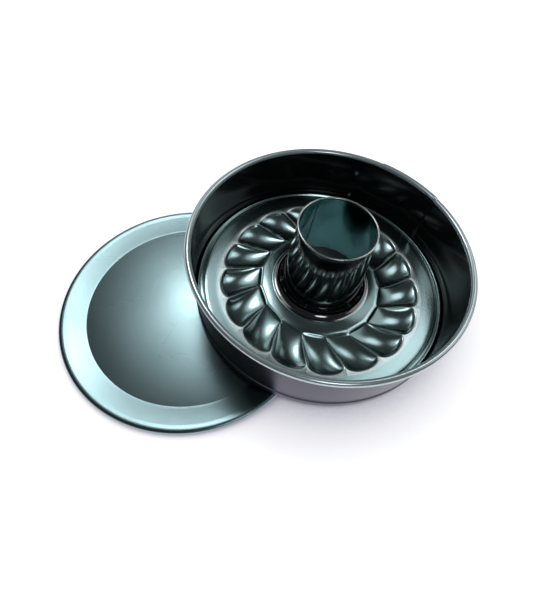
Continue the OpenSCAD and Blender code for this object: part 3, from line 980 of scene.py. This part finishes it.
    def grid(self) -> Grid:
        """The whole plate as one grid of azimuths by stations, from the collar's hole to the skirt.

        Rows and stations crowd towards the ridges and the outlines, as cosines of evenly stepped angles. The
        painted highlight, carried as wear, falls off from each ridge and from the tips' outline as
        exp(-(distance / width)^2).

        Returns:
            The closed shell.
        """
        row = np.arange(self.lobe_count * self.steps_per_lobe)
        u = -np.cos(np.pi * (row % self.steps_per_lobe) / self.steps_per_lobe)
        lobe = row // self.steps_per_lobe + (1 + u) / 2
        azimuth = self.swirl_phase + lobe * FULL_TURN / self.lobe_count
        t = (1 - np.cos(np.pi * np.linspace(0, 1, self.cross_steps + 1))) / 2
        lag = self.swirl_angle * (1 - t) ** self.swirl_power
        lobes = self.lobes(u, t, azimuth[:, None] - lag)
        sheet = self.sizes.sheet
        collar = both_sides(self.collar_path(), sheet, azimuth - lag[0])
        floor = both_sides(self.floor_path(), sheet, azimuth - lag[-1])
        upper = np.concatenate([collar[0], lobes, floor[0]], axis=1)
        lower = np.concatenate([collar[1], lobes - np.array([0, 0, sheet]), floor[1]], axis=1)

        # painted highlight: pale bands along each ridge and round the lobes' tips, carried as wear
        ridge_highlight = np.exp(-((1 - np.abs(u))[:, None] / self.ridge_highlight_w) ** 2) * np.sqrt(t)
        edge = np.exp(-((1 - t) / self.tip_highlight_w) ** 2)
        wear_and_highlight = np.zeros(upper.shape[:2])
        first = collar[0].shape[1]
        wear_and_highlight[:, first:first + len(t)] = self.painted_highlight * np.maximum(ridge_highlight, edge)
        return Grid(upper, lower, wear_and_highlight=wear_and_highlight)

    def build(self) -> bpy.types.Object:
        """Makes the plate.

        Returns:
            The plate, which replaces its solid.
        """
        piece = make_piece("swirl_base_plate", [self.grid()], self.sizes.on_ring, self.crease)
        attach(piece, Body.TUBE_BASE.value)
        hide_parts("tube_base_plate")
        return piece

    @staticmethod
    def dress(piece: bpy.types.Object, palette: Palette) -> None:
        """Gives the plate its coat, painted lighter than the flat base's, with a painted highlight along the
        ridges and the lobes' tips.
        """
        paint(piece, palette[LIT_PRESSED_TEAL])


@dataclass
class CentreTube:
    """The tube: a slim cone with a flange and fillet at its foot, a curled top and a lock seam inside."""

    sizes: SheetSizes
    top_z: float = 93.7
    top_r: float = 34.8
    curl_r: float = 0.9
    flange_margin: float = 0.3  # flange outside the fillet
    azimuth_step: float = 2.0
    pitch: float = 3.0
    fillet_steps: int = 14
    curl_steps: int = 16
    curl_highlight_start: float = 0.2  # bare edge and painted highlight start this far below the curl's centre
    curl_highlight_rise: float = 0.5  # height over which the coat gives way to bare metal, which also paints the curl's highlight
    seam_az: float = 101.0
    seam_w: float = 4.2
    seam_t: float = 0.7  # how far it stands proud
    seam_slope: float = 6.0  # steepness of its sides
    seam_groove: float = 0.35
    groove_at: float = 0.35  # place across the seam, from -1 to 1
    groove_w: float = 0.08  # share of half the seam
    seam_root: float = 0.1  # how far it reaches into the cone
    seam_drop: float = 2.4  # below the top, in radii of the curl
    seam_rows: int = 24
    seam_stations: int = 25

    @property
    def foot_z(self) -> float:
        """Height at which the fillet meets the cone."""
        return self.sizes.floor_z + self.sizes.sheet + self.sizes.tube_fillet

    @property
    def curl_z(self) -> float:
        """Height of the curl's centre."""
        return self.top_z - self.curl_r

    @property
    def slope(self) -> float:
        """How much the radius narrows for each millimetre of height."""
        return (self.sizes.tube_foot_r - self.top_r) / (self.curl_z - self.foot_z)

    def shell(self) -> Grid:
        """The cone with its fillet and its curled top.

        Returns:
            The closed shell.
        """
        s = self.sizes
        half = s.sheet / 2
        flange_z = s.floor_z + half
        lean = math.degrees(math.atan(self.slope))
        fillet_r = s.tube_foot_r + s.tube_fillet
        fillet = arc((fillet_r, flange_z + s.tube_fillet), s.tube_fillet, 270, 180 + lean, self.fillet_steps)
        middle = self.curl_r - half
        curl = arc((self.top_r + middle - half, self.curl_z), middle, 180 + lean, -90, self.curl_steps)
        path = np.concatenate([[[fillet_r + self.flange_margin, flange_z]], fillet, curl])
        path = dense(path, self.pitch)
        azimuths = np.arange(0, FULL_TURN, self.azimuth_step)
        # bare rolled edge on the curl, painted pale so that it also stands in for the curl's highlight
        wear_and_highlight = np.clip((path[:, 1] - self.curl_z + self.curl_highlight_start) / self.curl_highlight_rise, 0, 1)
        grid = sheet_round(path, s.sheet, azimuths, wear_and_highlight=wear_and_highlight)
        grid.coat_spans = ((0, int(np.argmax(wear_and_highlight > 0)), Coat.INSIDE),)
        return grid

    def seam(self) -> Grid:
        """The seam: a flat fold with rounded sides that runs up inside the cone.

        Its face stands proud of the cone by seam_t sqrt(slope (1 - |share|)), held at seam_t in the middle,
        less the groove's depth times exp(-((share - place) / width)^2).

        Returns:
            The closed shell.
        """
        s = self.sizes
        heights = np.linspace(self.foot_z, self.top_z - self.seam_drop * self.curl_r, self.seam_rows)[:, None]
        inside = s.tube_foot_r - s.sheet / 2 - self.slope * (heights - self.foot_z)
        share = np.linspace(-1, 1, self.seam_stations)
        proud = self.seam_t * np.clip((1 - np.abs(share)) * self.seam_slope, 0, 1) ** 0.5
        groove = self.seam_groove * np.exp(-((share - self.groove_at) / self.groove_w) ** 2)
        azimuths = self.seam_az + np.degrees(share * self.seam_w / 2 / inside)
        level = heights * np.ones_like(azimuths)
        face = np.stack([inside - proud + groove, level], axis=-1)
        back = np.stack([inside + self.seam_root * np.ones_like(azimuths), level], axis=-1)
        spans = ((0, self.seam_stations - 1, Coat.INSIDE),)
        return Grid(around(face, azimuths), around(back, azimuths), wraps=False, coat_spans=spans)

    def build(self) -> bpy.types.Object:
        """Makes the tube with its seam.

        Returns:
            The tube, which replaces its solid.
        """
        piece = make_piece("centre_tube_shell", [self.shell(), self.seam()], self.sizes.on_ring)
        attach(piece, Body.TUBE_BASE.value)
        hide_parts("centre_tube")
        return piece

    @staticmethod
    def dress(piece: bpy.types.Object, palette: Palette) -> None:
        """Gives the tube its black outside and its teal bore."""
        paint(piece, palette[TUBE_BLACK], palette[BORE_TEAL])


@dataclass
class DrawLatch:
    """The draw latch and the small steel pieces, whose solids keep their own shape."""

    nodes: tuple[str, ...] = ("rim_wire", "lever_bracket", "lever_bracket_rivets", "lever_pivot_pin",
                              "clasp_lever", "clasp_bail", "catch_plate", "catch_rivets")

    def build(self) -> list[bpy.types.Object]:
        """The solids of the latch, as they are in the frame."""
        return [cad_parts[name] for name in self.nodes]

    @staticmethod
    def dress(piece: bpy.types.Object, palette: Palette) -> None:
        """Gives a piece of the latch its plated steel."""
        paint(piece, palette[BRIGHT_STEEL])


# Studio


@dataclass(frozen=True)
class Lamp:
    """A soft area lamp aimed at the middle of the set."""

    name: str
    place: tuple[float, float, float]  # metres
    size: tuple[float, float]  # a face as high as it is wide is round
    power: float  # watts
    colour: Colour = (0.95, 0.99, 1.0)
    target: tuple[float, float, float] = (0.08, 0.0, 0.03)

    def hang(self) -> None:
        """Makes the lamp, which the camera doesn't see."""
        data = bpy.data.lights.new(self.name, "AREA")
        data.shape = "DISK" if self.size[0] == self.size[1] else "RECTANGLE"
        data.size, data.size_y = self.size
        data.energy = self.power
        data.color = self.colour
        lamp = bpy.data.objects.new(self.name, data)
        aim = Vector(self.target) - Vector(self.place)
        lamp.rotation_euler = aim.to_track_quat("-Z", "Y").to_euler()
        lamp.location = self.place
        lamp.visible_camera = False
        bpy.context.scene.collection.objects.link(lamp)


LAMPS = (
    Lamp("key_lamp", (0.010, 0.34, 0.60), (0.19, 0.19), 0.51),
    Lamp("key_halo", (0.008, 0.342, 0.605), (0.44, 0.44), 0.38),
    Lamp("front_lamp", (0.14, -0.42, 0.52), (0.2, 0.2), 0.45),
    Lamp("side_lamp", (0.48, 0.19, 0.60), (0.22, 0.22), 0.25),
    Lamp("right_panel", (1.10, 0.08, 0.75), (1.0, 0.7), 1.6),
    Lamp("back_panel", (-0.10, 1.15, 0.72), (0.8, 0.25), 0.6),
)


@dataclass
class Studio:
    """A pale floor, soft lamps and the photograph's camera."""

    camera_at: tuple[float, float, float] = (0.01989, -0.21044, 0.35974)  # metres
    heading: float = 16.12  # degrees to the right of +y
    pitch: float = 58.875  # degrees down
    roll: float = 4.968  # degrees about its own axis
    lens: float = 24.33  # millimetres
    sensor_h: float = 36.0
    shift: tuple[float, float] = (0.00116, 0.0012)
    near: float = 0.01  # metres
    floor_r: float = 6.0  # metres
    floor_sides: int = 96
    paper: Colour = (0.4, 0.4, 0.42)
    paper_roughness: float = 0.9
    shadow: Colour = (0.80, 0.77, 1.0)  # glow where the shade is deepest
    floor_glow: float = 1.0
    shade_reach: float = 0.11  # metres
    shade_samples: int = 8
    floor_shade: tuple[float, float] = (0.15, 0.95)  # openness that gives the camera no glow, and all
    hollow_shade: tuple[float, float] = (0.11, 0.26)  # the same in reflections
    sky: Colour = (0.62, 0.68, 0.70)
    sky_strength: float = 0.08

    def build(self) -> None:
        """Makes the camera, the lamps, the world and the floor."""
        self.add_camera()
        for lamp in LAMPS:
            lamp.hang()
        self.add_world()
        self.add_floor()
        bpy.context.scene.view_settings.view_transform = "Standard"

    def add_camera(self) -> None:
        """Camera looking along heading and pitch, then rolled about its own axis."""
        yaw, pitch, roll = (math.radians(a) for a in (self.heading, self.pitch, self.roll))
        ahead = Vector((math.sin(yaw) * math.cos(pitch), math.cos(yaw) * math.cos(pitch), -math.sin(pitch)))
        level = Vector((math.cos(yaw), -math.sin(yaw), 0))
        above = level.cross(ahead)
        right = math.cos(roll) * level + math.sin(roll) * above
        up = -math.sin(roll) * level + math.cos(roll) * above
        data = bpy.data.cameras.new("photo_camera")
        data.sensor_fit = "VERTICAL"
        data.sensor_height = self.sensor_h
        data.lens = self.lens
        data.shift_x, data.shift_y = self.shift
        data.clip_start = self.near
        camera = bpy.data.objects.new("photo_camera", data)
        turn = Matrix((right, up, -ahead)).transposed().to_4x4()
        camera.matrix_world = Matrix.Translation(self.camera_at) @ turn
        bpy.context.scene.collection.objects.link(camera)
        bpy.context.scene.camera = camera

    def add_world(self) -> None:
        """A dim, even sky that shows white to the camera."""
        world = bpy.data.worlds.new("studio_world")
        world.use_nodes = True
        tree = world.node_tree
        sky = tree.nodes["Background"]
        feed(tree, sky, {"Color": self.sky, "Strength": self.sky_strength})
        backdrop = tree.nodes.new("ShaderNodeBackground")
        feed(tree, backdrop, {"Color": WHITE})
        path = tree.nodes.new("ShaderNodeLightPath")
        mix = tree.nodes.new("ShaderNodeMixShader")
        feed(tree, mix, {"Fac": path.outputs["Is Camera Ray"], 1: sky.outputs[0], 2: backdrop.outputs[0]})
        feed(tree, tree.nodes["World Output"], {"Surface": mix.outputs["Shader"]})
        bpy.context.scene.world = world

    def floor_paper(self) -> bpy.types.Material:
        """Paper that glows white to the camera and in reflections, and less so the less open it is.

        Returns:
            The material.
        """
        material = bpy.data.materials.new("studio_floor_paper")
        material.use_nodes = True
        tree = material.node_tree
        shader = tree.nodes["Principled BSDF"]
        feed(tree, shader, {"Base Color": self.paper, "Roughness": self.paper_roughness})
        path = tree.nodes.new("ShaderNodeLightPath")
        open_sky = tree.nodes.new("ShaderNodeAmbientOcclusion")
        feed(tree, open_sky, {"Distance": self.shade_reach})
        open_sky.samples = self.shade_samples
        shade = ramp(tree, open_sky.outputs["AO"], self.floor_shade)
        deep = ramp(tree, open_sky.outputs["AO"], self.hollow_shade)
        through = path.outputs["Is Transmission Ray"]
        mirrored = math_node(tree, "MAXIMUM", path.outputs["Is Glossy Ray"], through)
        seen = math_node(tree, "MULTIPLY", path.outputs["Is Camera Ray"], shade)
        seen = math_node(tree, "MAXIMUM", seen, math_node(tree, "MULTIPLY", mirrored, deep))
        glow = tree.nodes.new("ShaderNodeEmission")
        feed(tree, glow, {
            "Color": mix_colour(tree, self.shadow, WHITE, shade),
            "Strength": math_node(tree, "MULTIPLY", seen, self.floor_glow),
        })
        add = tree.nodes.new("ShaderNodeAddShader")
        feed(tree, add, {0: shader.outputs["BSDF"], 1: glow.outputs["Emission"]})
        feed(tree, tree.nodes["Material Output"], {"Surface": add.outputs["Shader"]})
        return material

    def add_floor(self) -> None:
        """A level disc under the set, which keeps its shadows."""
        azimuths = np.arange(self.floor_sides) * FULL_TURN / self.floor_sides
        edge = around(np.array([[self.floor_r, 0.0]]), azimuths)[:, 0]
        mesh = bpy.data.meshes.new("studio_floor")
        mesh.from_pydata(edge.tolist(), [], [list(range(self.floor_sides))])
        floor = bpy.data.objects.new("studio_floor", mesh)
        bpy.context.scene.collection.objects.link(floor)
        mesh.materials.append(self.floor_paper())


def main() -> None:
    """Builds the studio and the set in order, dresses each piece and logs it."""
    logging.basicConfig(level=logging.INFO, format="%(message)s")
    Studio().build()
    groups = (coat_grain_group(), fine_scratches_group())
    palette = {finish: finish.material(*groups) for finish in FINISHES}
    sizes = SheetSizes()
    for part in (FlatBase(sizes), SpringRing(sizes), SwirlBase(sizes), CentreTube(sizes)):
        piece = part.build()
        part.dress(piece, palette)
        LOG.info("%s: %d faces", piece.name, len(piece.data.polygons))
    latch = DrawLatch()
    for piece in latch.build():
        latch.dress(piece, palette)
        LOG.info("%s: plated steel", piece.name)
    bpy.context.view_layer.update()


if __name__ == "__main__":
    main()
